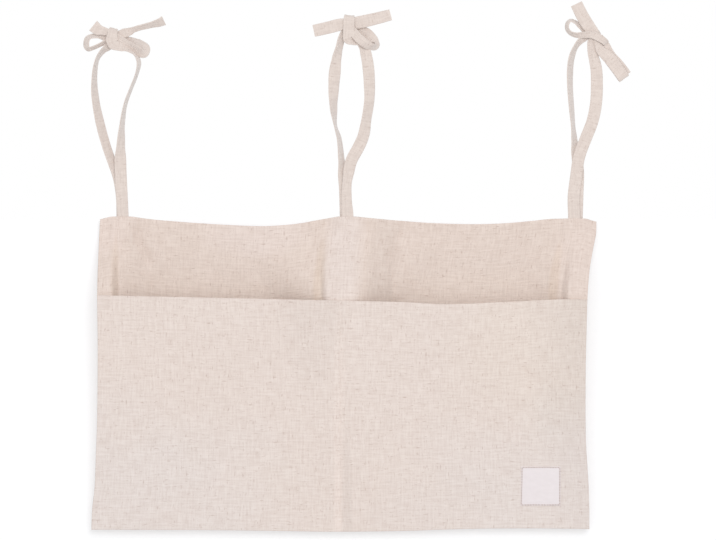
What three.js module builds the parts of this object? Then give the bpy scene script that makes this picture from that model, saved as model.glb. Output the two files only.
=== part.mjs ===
// A fabric organizer that hangs from a rail by three tied loops. It has a lined back panel, a pocket front
// that is sewn to it along both sides, along the bottom and down the middle, three tapes that are sewn into
// the top seam at their fold and tied in bows, and a small woven label.
// Millimetres, +X to the right, +Y to the back, +Z up. The origin is where the middle loop hangs on its rail.
import * as THREE from "three";

// Driving dimensions.
const PANEL_WIDTH = 500;
const PANEL_HEIGHT = 315;
const POCKET_HEIGHT = 231;
const POCKET_DEPTH = 26;
const CLOTH = 0.9;
const GAP = 0.3;
const SEAM_WIDTH = 6;
const SEAM_CLEARANCE = 0.4;
const TIE_INSET_LEFT = 25.5;
const TIE_INSET_RIGHT = 22;
const TAPE_WIDTH = 12;
const TAPE_THICKNESS = 1.2;
const KNOT_PITCH = 1.7;
const SEWN_END_HEIGHT = 12;
const SEWN_END_THICKNESS = 1.8;
const LABEL_WIDTH = 39;
const LABEL_HEIGHT = 39;
const LABEL_THICKNESS = 0.6;
const LABEL_FROM_RIGHT = 56.5;
const LABEL_FROM_BOTTOM = 46;
const LABEL_STITCH_INSET = 1;
const THREAD = 0.5;
const HANG_HEIGHT = 174;

// How the cloth hangs in its photographed pose.
const TOP_SAG_LEFT = 9.6;
const TOP_SAG_RIGHT = 6.6;
const CORNER_DROP = 3;
const RIGHT_TIE_DROP = 2;
const BOTTOM_RISE = 3.3;
const SIDE_FLAT_LEFT = 13;
const SIDE_FLAT_RIGHT = 18;
const SIDE_FALL_LEFT = 11;
const SIDE_FALL_RIGHT = 15;
const RIDGE_FLAT_LEFT = 11;
const RIDGE_FALL_LEFT = 20;
const RIDGE_FLAT_RIGHT = 9;
const RIDGE_FALL_RIGHT = 28;
const RIDGE_FLARE = 2;
const MIDDLE_SHIFT = -7;

// Sizes that follow from the ones above.
const LAYER_OFFSET = (CLOTH + GAP) / 2;
const PANEL_HALF = LAYER_OFFSET + CLOTH / 2;
const TIE_DEPTH = -(SEWN_END_THICKNESS + GAP) / 2;
const STRAND_OFFSET = (TAPE_THICKNESS + GAP) / 2;
const NOSE_RADIUS = TAPE_THICKNESS + GAP / 2;
const HINGE_RISE = NOSE_RADIUS + GAP;
const POCKET_OFFSET = 2 * PANEL_HALF + GAP;
const POCKET_BOTTOM = BOTTOM_RISE + SEAM_WIDTH;
const TIE_HALF = TAPE_WIDTH / 2 + 3;
const RINGS_PER_SPAN = 3;

const linen = new THREE.MeshStandardMaterial({ color: 0xe6d9d2, roughness: 0.9, metalness: 0 });
const tapeCloth = new THREE.MeshStandardMaterial({ color: 0xe8dcd5, roughness: 0.9, metalness: 0 });
const woven = new THREE.MeshStandardMaterial({ color: 0xe9e0e2, roughness: 0.7, metalness: 0 });
const thread = new THREE.MeshStandardMaterial({ color: 0xd9cabf, roughness: 0.8, metalness: 0 });

const organizer = new THREE.Group();
const hung = new THREE.Group();
hung.position.z = -(PANEL_HEIGHT + HANG_HEIGHT);
organizer.add(hung);

function add(name, geometry, material) {
  const mesh = new THREE.Mesh(geometry, material);
  mesh.name = name;
  hung.add(mesh);
}

const mix = (a, b, t) => a + (b - a) * t;
const clamp = (t) => Math.min(1, Math.max(0, t));
const smooth = (t) => clamp(t) ** 2 * (3 - 2 * clamp(t));

// A smooth run through the points [place, value] of a short outline.
function through(points, place) {
  const last = points.length - 1;
  const next = points.findIndex(([at]) => at >= place);
  if (next < 0) return points[last][1];
  if (next === 0) return points[0][1];
  const slope = (i) => {
    const [before, after] = [points[Math.max(i - 1, 0)], points[Math.min(i + 1, last)]];
    return (after[1] - before[1]) / (after[0] - before[0]);
  };
  const [[from, low], [to, high]] = [points[next - 1], points[next]];
  const t = (place - from) / (to - from);
  const bend = slope(next - 1) * (1 - t) - slope(next) * t;
  return mix(low, high, smooth(t)) + (to - from) * t * (1 - t) * bend;
}

// How far each side edge is drawn in, by its share of the height.
const leftDrawn = [
  [0, -5.6], [0.07, -4.6], [0.14, -2], [0.25, -0.4], [0.36, 1.1], [0.6, 2.2], [0.8, 1.8], [0.92, 2.1],
  [1, 3.2],
];
const rightDrawn = [
  [0, 7.8], [0.07, 8], [0.15, 8.9], [0.3, 11.9], [0.5, 12.5], [0.65, 11.8], [0.75, 10.9], [0.83, 8.3],
  [0.9, 4], [0.945, 1], [1, 0.6],
];
const leftEdge = (z) => -PANEL_WIDTH / 2 + through(leftDrawn, z / PANEL_HEIGHT);
const rightEdge = (z) => PANEL_WIDTH / 2 - through(rightDrawn, z / PANEL_HEIGHT);

// The line of the middle seam, which leans back under the middle tie above the pockets.
const middleAt = (z) => MIDDLE_SHIFT * (1 - smooth((z - POCKET_HEIGHT) / (PANEL_HEIGHT - POCKET_HEIGHT)));

// The three places where a tie is sewn in, and the height of the top edge there.
const ties = [
  { side: "left", x: TIE_INSET_LEFT - PANEL_WIDTH / 2, top: PANEL_HEIGHT },
  { side: "centre", x: 0, top: PANEL_HEIGHT },
  { side: "right", x: PANEL_WIDTH / 2 - TIE_INSET_RIGHT, top: PANEL_HEIGHT - RIGHT_TIE_DROP },
];

// The sag of the top edge between two ties, as shares of the span and of its depth.
const sagLeft = [
  [0, 0], [0.09, 0.27], [0.235, 0.55], [0.43, 0.83], [0.62, 1], [0.72, 0.92], [0.82, 0.7], [0.91, 0.34],
  [1, 0],
];
const sagRight = [
  [0, 0], [0.067, 0.2], [0.21, 0.58], [0.35, 0.86], [0.54, 1], [0.69, 0.85], [0.83, 0.44], [0.92, 0.1],
  [1, 0],
];

function topEdge(x) {
  const [left, centre, right] = ties;
  const drop = (from, to) => CORNER_DROP * smooth((x - from) / (to - from));
  if (x < left.x - TIE_HALF) return left.top - drop(left.x - TIE_HALF, -PANEL_WIDTH / 2);
  if (x > right.x + TIE_HALF) return right.top - drop(right.x + TIE_HALF, PANEL_WIDTH / 2);
  const toLeft = clamp((x - left.x - TIE_HALF) / (centre.x - left.x - 2 * TIE_HALF));
  const toRight = clamp((x - centre.x - TIE_HALF) / (right.x - centre.x - 2 * TIE_HALF));
  if (x < centre.x) return left.top - TOP_SAG_LEFT * through(sagLeft, toLeft);
  return mix(centre.top, right.top, toRight) - TOP_SAG_RIGHT * through(sagRight, toRight);
}

// The bottom edge's rise and the mouth's height over its middle, by the share of the width.
const bottomDrawn = [
  [-0.5, 0.58], [-0.25, 0.45], [-0.12, 0.18], [-0.04, 0], [0.04, 0.06], [0.12, 0.27], [0.25, 0.88],
  [0.38, 1], [0.5, 0.7],
];
const mouthDrawn = [
  [-0.5, 5.5], [-0.3, 3.3], [-0.05, 0.5], [0.1, -1.2], [0.2, -3.4], [0.33, -0.8], [0.42, 1.3], [0.5, 1.2],
];
const bottomEdge = (x) => BOTTOM_RISE * through(bottomDrawn, x / PANEL_WIDTH);
const mouthEdge = (x) => POCKET_HEIGHT + through(mouthDrawn, x / PANEL_WIDTH);

// How far the pocket front stands forward of the back wall at a height: it leans out to its mouth.
const lean = POCKET_DEPTH / POCKET_HEIGHT;
const pocketPlane = (z) => -lean * z - POCKET_OFFSET;

// The back panel reaches as far forward as the pocket at its sides and at its middle ridge.
function forwardShare(x, z) {
  const falling = (distance, flat, fall) => 1 - smooth((distance - flat) / fall);
  const leftSide = falling(x - leftEdge(z), SIDE_FLAT_LEFT, SIDE_FALL_LEFT);
  const rightSide = falling(rightEdge(z) - x, SIDE_FLAT_RIGHT, SIDE_FALL_RIGHT);
  const above = clamp((z - POCKET_HEIGHT) / (PANEL_HEIGHT - POCKET_HEIGHT));
  const off = (x - middleAt(z)) / mix(1, RIDGE_FLARE, above);
  const ridgeLeft = falling(-off, RIDGE_FLAT_LEFT, RIDGE_FALL_LEFT);
  const ridgeRight = falling(off, RIDGE_FLAT_RIGHT, RIDGE_FALL_RIGHT);
  return Math.max(leftSide, rightSide, off < 0 ? ridgeLeft : ridgeRight);
}

function backDepth(x, z) {
  const above = smooth((z - POCKET_HEIGHT) / (PANEL_HEIGHT - SEWN_END_HEIGHT - POCKET_HEIGHT));
  const forward = z < POCKET_HEIGHT ? lean * Math.max(z, 0) : POCKET_DEPTH * (1 - above);
  return -forward * forwardShare(x, z);
}

// The face stands out over the sewn end of each tie.
function tieBulge(x, z) {
  const near = Math.min(...ties.map((tie) => Math.abs(x - tie.x)));
  const across = 1 - smooth((near - TAPE_WIDTH / 2 - 2) / 7);
  const up = smooth((z - PANEL_HEIGHT + 2.5 * SEWN_END_HEIGHT) / SEWN_END_HEIGHT);
  return (SEWN_END_THICKNESS + GAP) * across * up;
}

// A point of the back panel, from its place across the top edge and its share of the height.
function backPoint(across, share) {
  const xAt = (height) => mix(leftEdge(height), rightEdge(height), across / PANEL_WIDTH + 0.5);
  const z = mix(bottomEdge(xAt(0)), topEdge(xAt(PANEL_HEIGHT)), share);
  return new THREE.Vector3(xAt(z), backDepth(xAt(z), z), z);
}

// The same point moved towards the front along the cloth's own normal.
function backOffset(across, share, distance) {
  const half = PANEL_WIDTH / 2;
  const [left, right] = [Math.max(across - 1, -half), Math.min(across + 1, half)];
  const [low, high] = [Math.max(share - 0.004, 0), Math.min(share + 0.004, 1)];
  const along = backPoint(right, share).sub(backPoint(left, share));
  const up = backPoint(across, high).sub(backPoint(across, low));
  return backPoint(across, share).addScaledVector(along.cross(up).normalize(), distance);
}

// A closed geometry from rings of corners: each ring joins the next, and the first and last are capped.
// The back half of a ring is split along the same diagonals as its front half, so both sides stay parallel.
function closedRings(rings) {
  const corners = rings[0].length;
  const triangles = [];
  rings.slice(1).forEach((ring, k) => {
    for (let i = 0; i < corners; i++) {
      const a = k * corners + i;
      const b = k * corners + ((i + 1) % corners);
      if (i < corners / 2) triangles.push(a, b, b + corners, a, b + corners, a + corners);
      else triangles.push(a, b, a + corners, b, b + corners, a + corners);
    }
  });
  const last = (rings.length - 1) * corners;
  const strips = corners / 2 - 1;
  for (let i = 0; i < strips; i++) {
    const [a, b, c, d] = [i, i + 1, corners - 2 - i, corners - 1 - i];
    triangles.push(a, c, b, a, d, c, last + a, last + b, last + c, last + a, last + c, last + d);
  }
  const numbers = rings.flat().flatMap((point) => point.toArray());
  const geometry = new THREE.BufferGeometry();
  geometry.setAttribute("position", new THREE.Float32BufferAttribute(numbers, 3));
  geometry.setIndex(triangles);
  geometry.computeVertexNormals();
  return geometry;
}

// A cloth solid between two surfaces, each a function of a place across and a share of the height.
function clothSolid(columns, rows, front, back) {
  const across = (surface, row, places) => places.map((place) => surface(place, row));
  const reversed = [...columns].reverse();
  return closedRings(rows.map((row) => [...across(front, row, columns), ...across(back, row, reversed)]));
}

const topWidth = rightEdge(PANEL_HEIGHT) - leftEdge(PANEL_HEIGHT);
const acrossAtTop = (x) => ((x - leftEdge(PANEL_HEIGHT)) / topWidth - 0.5) * PANEL_WIDTH;
const tieLines = ties.flatMap((tie) => [-15, -8, 8, 15].map((out) => acrossAtTop(tie.x + out)));
const leftLines = [0, 7, 13, 16, 18.5, 21, 24, 30].map((inset) => inset - PANEL_WIDTH / 2);
const rightLines = [0, 9, 18, 22, 25.5, 29, 33, 39].map((inset) => PANEL_WIDTH / 2 - inset);
const ridgeLines = [-56, -46, -38, -33, -28, -23, -18, -10, -3, 3, 8, 13, 18, 24, 30, 38, 48, 60];
const foldLines = [80, 115, 150, 185].flatMap((out) => [-out, out]);
const backColumns = [...tieLines, ...leftLines, ...rightLines, ...ridgeLines, ...foldLines]
  .sort((a, b) => a - b)
  .filter((place, i, all) => i === 0 || place - all[i - 1] > 1.5);
const backRows = [0, 0.25, 0.5, 0.65, 0.73, 0.79, 0.85, 0.89, 0.93, 0.965, 1];

// The back panel: a face and a lining, with the ties' ends between them at the top.
const layers = [
  { name: "back_panel_face", middle: LAYER_OFFSET, bulge: 1 },
  { name: "back_panel_lining", middle: -LAYER_OFFSET, bulge: 0 },
];
for (const layer of layers) {
  const surface = (distance) => (across, share) => {
    const point = backOffset(across, share, layer.middle + distance);
    point.y -= layer.bulge * tieBulge(point.x, point.z);
    return point;
  };
  add(layer.name, clothSolid(backColumns, backRows, surface(CLOTH / 2), surface(-CLOTH / 2)), linen);
}

// Places along the pocket front, in steps of at most a given length.
function steps(from, to, step) {
  const count = Math.max(1, Math.ceil(Math.abs(to - from) / step));
  return Array.from({ length: count + 1 }, (_, i) => mix(from, to, i / count));
}

// A flat piece of the pocket front between four edges, each a function, with its faces at two offsets.
function pocketPiece(left, right, low, high, columns, rows, front, back) {
  const surface = (offset) => (across, share) => {
    const guess = mix(left(POCKET_HEIGHT / 2), right(POCKET_HEIGHT / 2), across);
    const z = mix(low(guess), high(guess), share);
    const x = mix(left(z), right(z), across);
    return new THREE.Vector3(x, pocketPlane(z) - offset, z);
  };
  return clothSolid(steps(0, 1, 1 / columns), steps(0, 1, 1 / rows), surface(front), surface(back));
}

const seamInner = SEAM_WIDTH + SEAM_CLEARANCE;
const pocketLow = () => POCKET_BOTTOM;

// The sewn edges of the pocket front, which stay with the back panel.
const sewnEdge = (name, left, right, low, high, columns, rows) =>
  add(name, pocketPiece(left, right, low, high, columns, rows, PANEL_HALF, -PANEL_HALF), linen);
sewnEdge("pocket_sewn_edge_left", leftEdge, (z) => leftEdge(z) + SEAM_WIDTH, pocketLow, mouthEdge, 1, 8);
sewnEdge("pocket_sewn_edge_right", (z) => rightEdge(z) - SEAM_WIDTH, rightEdge, pocketLow, mouthEdge, 1, 8);
sewnEdge(
  "pocket_sewn_edge_middle",
  () => MIDDLE_SHIFT - SEAM_WIDTH / 2,
  () => MIDDLE_SHIFT + SEAM_WIDTH / 2,
  pocketLow,
  mouthEdge,
  1,
  1,
);
const bottomTop = () => POCKET_BOTTOM - SEAM_CLEARANCE;
sewnEdge("pocket_sewn_edge_bottom", leftEdge, rightEdge, bottomEdge, bottomTop, 16, 1);

// The two pocket fronts, each a face and a lining, which swing out at the mouth.
const besideMiddle = SEAM_WIDTH / 2 + SEAM_CLEARANCE;
const pockets = [
  { side: "left", from: (z) => leftEdge(z) + seamInner, to: () => MIDDLE_SHIFT - besideMiddle },
  { side: "right", from: () => MIDDLE_SHIFT + besideMiddle, to: (z) => rightEdge(z) - seamInner },
];
for (const { side, from, to } of pockets) {
  const faceBack = GAP / 2;
  const layer = (front, back) => pocketPiece(from, to, pocketLow, mouthEdge, 10, 8, front, back);
  add(`pocket_front_${side}_face`, layer(PANEL_HALF, faceBack), linen);
  add(`pocket_front_${side}_lining`, layer(-faceBack, -PANEL_HALF), linen);
}

// The thread of the middle seam, in front of the sewn edge.
const seamThread = (z) => new THREE.Vector3(MIDDLE_SHIFT, pocketPlane(z) - PANEL_HALF - GAP - THREAD / 2, z);
const square = [[-1, 1], [-1, -1], [1, -1], [1, 1]].map(([x, y]) => new THREE.Vector3(x, y, 0));
const threadCorner = (centre, corner) => corner.clone().multiplyScalar(THREAD / 2).add(centre);
const threadSection = (centre) => square.map((corner) => threadCorner(centre, corner));
const threadEnds = [POCKET_BOTTOM, POCKET_HEIGHT - SEAM_WIDTH];
add("middle_seam_thread", closedRings(threadEnds.map((z) => threadSection(seamThread(z)))), thread);

// The label and the thread around it lie on the right pocket's face, whose plane leans out.
function onPocket(geometry, x, z, rise) {
  const out = new THREE.Vector3(0, -1, -lean).normalize();
  const up = new THREE.Vector3(0, -lean, 1).normalize();
  geometry.applyMatrix4(new THREE.Matrix4().makeBasis(new THREE.Vector3(1, 0, 0), up, out));
  const surface = new THREE.Vector3(x, pocketPlane(z) - PANEL_HALF, z).addScaledVector(out, rise);
  return geometry.translate(...surface.toArray());
}
const labelX = PANEL_WIDTH / 2 - LABEL_FROM_RIGHT;
const labelZ = LABEL_FROM_BOTTOM;
const labelLift = GAP + LABEL_THICKNESS / 2;
const labelCloth = new THREE.BoxGeometry(LABEL_WIDTH, LABEL_HEIGHT, LABEL_THICKNESS);
add("label", onPocket(labelCloth, labelX, labelZ, labelLift), woven);

function rectangle(width, height, Path) {
  const corners = [[-1, -1], [1, -1], [1, 1], [-1, 1]];
  return new Path(corners.map(([x, y]) => new THREE.Vector2((x * width) / 2, (y * height) / 2)));
}
const stitchWidth = LABEL_WIDTH - 2 * LABEL_STITCH_INSET;
const stitchHeight = LABEL_HEIGHT - 2 * LABEL_STITCH_INSET;
const stitchFrame = rectangle(stitchWidth, stitchHeight, THREE.Shape);
stitchFrame.holes.push(rectangle(stitchWidth - 2 * THREAD, stitchHeight - 2 * THREAD, THREE.Path));
const stitches = new THREE.ExtrudeGeometry(stitchFrame, { depth: THREAD, bevelEnabled: false });
add("label_thread", onPocket(stitches, labelX, labelZ, 2 * GAP + LABEL_THICKNESS), thread);

// The end of each tie that is sewn in between the face and the lining.
for (const tie of ties) {
  const end = new THREE.BoxGeometry(TAPE_WIDTH, SEWN_END_THICKNESS, SEWN_END_HEIGHT);
  add(`tie_${tie.side}_sewn_end`, end.translate(tie.x, TIE_DEPTH, tie.top - SEWN_END_HEIGHT / 2), tapeCloth);
}

// A tape along a route of [x, depth to the back, height, width, turn]: x and height are taken from the hinge
// at the tie's root, and turn is how many degrees the tape is twisted out of the picture plane.
// Its lower end is a round nose about the hinge, so that the panel can swing under it.
function tape(route) {
  const points = route.map(([x, y, z]) => new THREE.Vector3(x, y, z));
  const curve = new THREE.CatmullRomCurve3(points, false, "centripetal");
  const section = [[-1, 1], [1, 1], [1, -1], [-1, -1]];
  const ring = (centre, wide, thin) =>
    section.map(([w, t]) => centre.clone().addScaledVector(wide, w).addScaledVector(thin, t));
  const [rootX, rootDepth, , rootWidth] = route[0];
  const rings = [0.98, 0.8, 0.5].map((drop) => {
    const reach = NOSE_RADIUS * Math.sqrt(1 - drop * drop);
    const depth = (Math.sign(rootDepth) * (reach + GAP / 2)) / 2;
    const centre = new THREE.Vector3(rootX, depth, -drop * NOSE_RADIUS);
    const thin = new THREE.Vector3(0, (GAP / 2 - reach) / 2, 0);
    return ring(centre, new THREE.Vector3(rootWidth / 2, 0, 0), thin);
  });
  let base = new THREE.Vector3(1, 0, 0);
  const spans = route.length - 1;
  for (const at of steps(0, spans, 1 / RINGS_PER_SPAN)) {
    const place = Math.min(spans - 1, Math.floor(at));
    const between = (i) => mix(route[place][i], route[place + 1][i], smooth(at - place));
    const [width, turn] = [between(3), between(4)];
    const ahead = at === 0 ? new THREE.Vector3(0, 0, 1) : curve.getTangent(at / spans);
    const flat = new THREE.Vector3(ahead.z, 0, -ahead.x);
    if (flat.length() > 0.4) base = flat.normalize().multiplyScalar(flat.dot(base) < 0 ? -1 : 1);
    const angle = THREE.MathUtils.degToRad(turn);
    const wide = base.clone().multiplyScalar(Math.cos(angle)).add(new THREE.Vector3(0, Math.sin(angle), 0));
    wide.addScaledVector(ahead, -wide.dot(ahead)).normalize();
    const thin = wide.clone().cross(ahead).multiplyScalar(TAPE_THICKNESS / 2);
    rings.push(ring(curve.getPoint(at / spans), wide.multiplyScalar(width / 2), thin));
  }
  return closedRings(rings);
}

// The layers of a knot from its back to its front, and the two strands at the root.
const REAR = 2 * KNOT_PITCH;
const BACK = KNOT_PITCH;
const INNER = 0;
const FRONT = -KNOT_PITCH;
const BAND = -2 * KNOT_PITCH;
const BEHIND = STRAND_OFFSET;
const AHEAD = -STRAND_OFFSET;

// The routes of each tie's two strands: up from the seam, through the knot, round a loop and out as a tail.
const routes = {
  left: {
    rear: [
      [-0.5, BEHIND, 0, 11, 0], [-1, BEHIND, 20, 11.5, 0], [-5, 1.4, 41, 11.5, 12], [-12.5, 2, 58, 11, 40],
      [-21, 1, 86, 11.5, 42], [-27, 0, 116, 12, 56], [-28, 0, 138, 12, 68], [-25, 0, 156, 12, 76],
      [-19, 0.8, 164.5, 11, 66], [-12.5, BACK, 170, 8, 20], [-9.5, BACK, 175, 7, 0],
      [-11.5, BACK, 178, 6.5, 0], [-17, BACK, 177.7, 7.4, 12], [-24.5, 1, 178.8, 7.5, 52],
      [-32, 0.4, 178.2, 8, 52], [-35.4, 0.2, 175.4, 8, 42], [-36, 0, 168.6, 8, 42],
      [-34.4, 0, 165.9, 7.5, 54], [-30, 0, 166.7, 6.5, 60], [-22.5, 0, 170, 6.5, 60],
      [-17, 0, 172.6, 7, 48], [-12, INNER, 175, 7.6, 5], [-4, INNER, 179.6, 8.2, 0],
      [2, -0.8, 181.6, 9.5, 0], [7, -0.9, 183.1, 8, 5], [11, -0.7, 185, 7, 40],
      [17.5, -0.5, 187.1, 7.5, 48], [27.5, 0, 189.6, 8.5, 50], [37, 0, 192.2, 11, 46],
      [41.5, 0, 194.2, 12, 40],
    ],
    front: [
      [0.5, AHEAD, 0, 11.5, 0], [-1, AHEAD, 26, 12, 0], [-2, -1, 50, 12, 8], [-1.5, -1, 71, 11.5, 48],
      [0, -1, 92, 12, 70], [3.2, -1, 111, 12, 78], [8.7, -1, 126, 12, 80], [14.5, -1, 141, 12, 80],
      [16.5, -1, 153, 12, 72], [12.5, -1.5, 161, 11, 74], [5, -2.6, 166.2, 9.5, 50],
      [-2.5, BAND, 168, 9, 10], [-9, BAND, 170.6, 11, 0], [-10.4, BAND, 175, 12, 0],
      [-9.6, BAND, 181, 10, 0], [-8.7, 0, 186.4, 8.5, 0], [-8.8, REAR, 182, 8.5, 0],
      [-5, REAR, 177.5, 8, 0], [2.5, 3.6, 175.2, 8, 20], [10.5, 3.2, 174, 10, 48],
      [17.5, 2.2, 171.3, 12, 50], [22.8, 0.3, 166.6, 12, 40], [21, -2.2, 161.8, 12, 36],
      [15.5, -3, 163.4, 12, 44], [9, -3, 167.8, 11, 46], [3.5, -2.4, 171.8, 8, 30],
      [-2, FRONT, 175.5, 7.5, 0], [-8, FRONT, 179.5, 7, 0], [-13.5, FRONT, 182.3, 7, 0],
      [-19.5, -2, 183.8, 8.5, 0], [-25, -2.2, 185.6, 11.5, 0], [-29.2, -2.3, 189, 12.5, 0],
    ],
  },
  centre: {
    rear: [
      [-1.5, BEHIND, 0, 11.5, 0], [-2.5, BEHIND, 30, 11.5, 0], [-5.5, 1.6, 54.5, 12, 60],
      [-7.8, 1, 76.5, 12, 68], [-11.4, 0, 88.5, 12, 78], [-13.5, 0, 108, 12, 52], [-13.3, 0, 126.5, 12, 28],
      [-12.3, 0, 141.5, 12, 10], [-10.3, 0, 156.5, 11.5, 35], [-7.8, 0.5, 167, 11, 50],
      [-5, 1.2, 178, 9, 40], [-1, BACK, 186, 8, 0], [-5, BACK, 190.5, 8, 0], [-14, BACK, 188.5, 10, 0],
      [-23, BACK, 186.3, 10.5, 0], [-26, 0.9, 185.6, 10.5, 0], [-23, INNER, 186.3, 10.5, 0],
      [-14, INNER, 188.5, 10, 0], [-4, INNER, 190, 9, 0], [3.5, INNER, 190.9, 10, 0],
      [10.5, -0.2, 192.2, 12.4, 0], [19.5, -0.3, 194, 12.4, 0], [33, -0.5, 197.2, 11.8, 0],
      [43.7, 0, 200, 11.2, 0],
    ],
    front: [
      [0.5, AHEAD, 0, 12, 0], [-0.5, AHEAD, 16.5, 10.5, 3], [0, -1.1, 31.5, 9.5, 6],
      [2, -1.4, 44.5, 11.5, 6], [4.5, -1, 54.5, 12, 5], [11, -1, 66.5, 12, 0], [16.5, -1, 79, 12, 15],
      [19.5, -1, 96, 12, 35], [22.3, -1, 114, 12, 32], [22.4, -1, 131, 12, 20], [21.4, -0.5, 146.5, 12, 12],
      [19.2, 0, 160, 11.5, 8], [16, 0.6, 169, 10, 20], [11, 0.2, 172.6, 9, 46], [5.6, -2, 173.8, 9.5, 32],
      [1.6, BAND, 176, 11, 0], [1.6, BAND, 181, 11.2, 0], [1.7, BAND, 187, 11.2, 0],
      [2.1, BAND, 195, 11.2, 0], [2.5, 0, 199.2, 10.2, 0], [3.2, REAR, 195.5, 9, 0], [6, REAR, 189.5, 9, 0],
      [13.5, 3.6, 185, 10.5, 4], [20.5, 3.6, 180.4, 12, 8], [25.2, 3.2, 175.6, 12, 20],
      [28.4, 2, 171.4, 11.5, 48], [28, 0, 168.4, 10.5, 66], [24.6, -2.2, 167.7, 10, 56],
      [20.2, -4, 169.6, 9.5, 24], [15.4, -4.7, 173.2, 9.5, 6], [11, -4.6, 177, 9.5, 2],
      [8, -4, 180.6, 9, 0], [4.8, -1.9, 184.5, 8.5, 0], [1, FRONT, 187.5, 9, 0],
      [-3.5, FRONT, 190.4, 11.5, 0], [-8.5, -1.8, 189.7, 12.4, 0], [-16.5, -2, 187.6, 12.4, 0],
      [-26, -2, 185.4, 12.2, 0], [-33.3, -2, 183.8, 12, 0],
    ],
  },
  right: {
    rear: [
      [2, BEHIND, 0, 11.5, 0], [2.8, BEHIND, 25, 11.5, 0], [3.4, 1.5, 45, 11.5, 4], [1.5, 3, 62, 11.5, 26],
      [-0.5, 2.6, 76.5, 12, 58], [-1.8, 0.5, 90, 12, 68], [-3.5, 0, 109, 12, 62], [-5, 0, 130, 12, 60],
      [-5, 0, 146, 12, 57], [-3.5, 0, 159, 11.5, 57], [1, 0.8, 170.5, 9.5, 60], [6, 1.4, 176.5, 8, 40],
      [10, BACK, 179.5, 7, 0], [11.5, BACK, 183, 7, 0], [9.5, 2, 187, 7, 20], [5, 2.2, 191, 7, 40],
      [0.5, 1.8, 194.6, 7, 58], [-4.5, 1, 196.3, 7, 64], [-7.6, 0.5, 193.2, 7, 62], [-7.8, 0, 188, 7, 62],
      [-5, -0.5, 184, 7, 60], [1, -1.2, 181.6, 7, 48], [7, -2.6, 181.6, 7, 30], [13.5, BAND, 182, 6.8, 5],
      [18.6, BAND, 181.2, 7.4, 0], [23.8, BAND, 179, 7.8, 0], [28.8, -3.6, 175.6, 7, 0],
      [31.2, -0.8, 173.4, 6.6, 0], [29.4, BACK, 175, 7, 0], [26.6, BACK, 178, 7, 0], [25.2, 1, 179.4, 7, 0],
      [26.8, 0.3, 177.2, 7.5, 0], [31, 0.3, 169, 10.5, 0], [34.6, 0.4, 161, 12, 0],
      [41.4, 0.4, 153.6, 12, 0], [46.2, 0.4, 147.4, 12, 0], [49.9, 0.3, 142, 12, 0],
    ],
    front: [
      [-1, AHEAD, 0, 12, 0], [-1.5, AHEAD, 20, 12, 0], [1, -1, 40, 12, 0], [4, -1, 60, 12, 0],
      [11, -1, 79, 12, 0], [17.5, -1, 96, 12, 0], [21, -1, 114, 12, 0], [21.8, -1, 134, 12, 0],
      [21, -1, 149, 12, 10], [18, -0.6, 162, 11, 18], [16.5, 0, 172, 9, 8], [17, 0, 178, 8, 0],
      [18.5, 0.5, 182.5, 7.5, 0], [20.5, 2, 184.6, 7.5, 0], [22, REAR, 182.5, 8, 0],
      [24, REAR, 177, 8.5, 0], [27.6, 3.2, 168.5, 10.5, 0], [33.4, 3, 159.8, 12, 0],
      [42.1, 2.8, 148.4, 12, 0], [46.8, 2.1, 139.8, 12, 0], [48.1, 0.3, 137.6, 12, 0],
      [46.8, -1.5, 139.8, 12, 0], [42.1, -1.8, 148.4, 12.3, 0], [33.4, -2, 159.4, 12.3, 0],
      [26.2, -1.6, 165.6, 10, 0], [23, -1.2, 172.4, 7, 0], [22, FRONT, 180, 7.5, 0],
      [17.5, FRONT, 186, 11, 0], [12.7, -2, 191.8, 12.6, 0], [6.5, -2, 202, 12.6, 0],
      [1.2, -2, 212.8, 12.2, 0],
    ],
  },
};

for (const tie of ties)
  for (const strand of ["rear", "front"]) {
    const strip = tape(routes[tie.side][strand]);
    add(`tie_${tie.side}_${strand}_tape`, strip.translate(tie.x, TIE_DEPTH, tie.top + HINGE_RISE), tapeCloth);
  }

export default organizer;
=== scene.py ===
"""A hanging fabric organizer in linen.

It has a lined back panel, a two-part pocket front, three tied tapes and a bare label.
Sizes are in millimetres, in the part's own frame, and are turned into metres where a mesh is made.
Heights are taken from the lowest point of the panel, and HUNG brings them into the frame.
"""

import math

import bpy
import numpy as np
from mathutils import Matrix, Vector


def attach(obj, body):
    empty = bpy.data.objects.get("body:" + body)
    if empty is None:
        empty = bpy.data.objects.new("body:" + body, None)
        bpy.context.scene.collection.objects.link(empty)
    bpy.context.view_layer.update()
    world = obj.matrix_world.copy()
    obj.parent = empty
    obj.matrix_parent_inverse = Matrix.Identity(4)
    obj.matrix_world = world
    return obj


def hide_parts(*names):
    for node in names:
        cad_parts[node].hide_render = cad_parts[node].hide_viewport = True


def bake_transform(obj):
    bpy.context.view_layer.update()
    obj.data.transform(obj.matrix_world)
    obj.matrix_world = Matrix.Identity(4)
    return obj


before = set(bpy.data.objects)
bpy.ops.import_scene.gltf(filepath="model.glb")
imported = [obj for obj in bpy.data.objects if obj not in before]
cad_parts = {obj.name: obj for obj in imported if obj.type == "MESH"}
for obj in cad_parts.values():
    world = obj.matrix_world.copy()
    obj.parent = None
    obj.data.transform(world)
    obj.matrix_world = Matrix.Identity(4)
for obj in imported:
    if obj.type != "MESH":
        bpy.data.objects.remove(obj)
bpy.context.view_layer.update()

MM = 0.001

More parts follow.
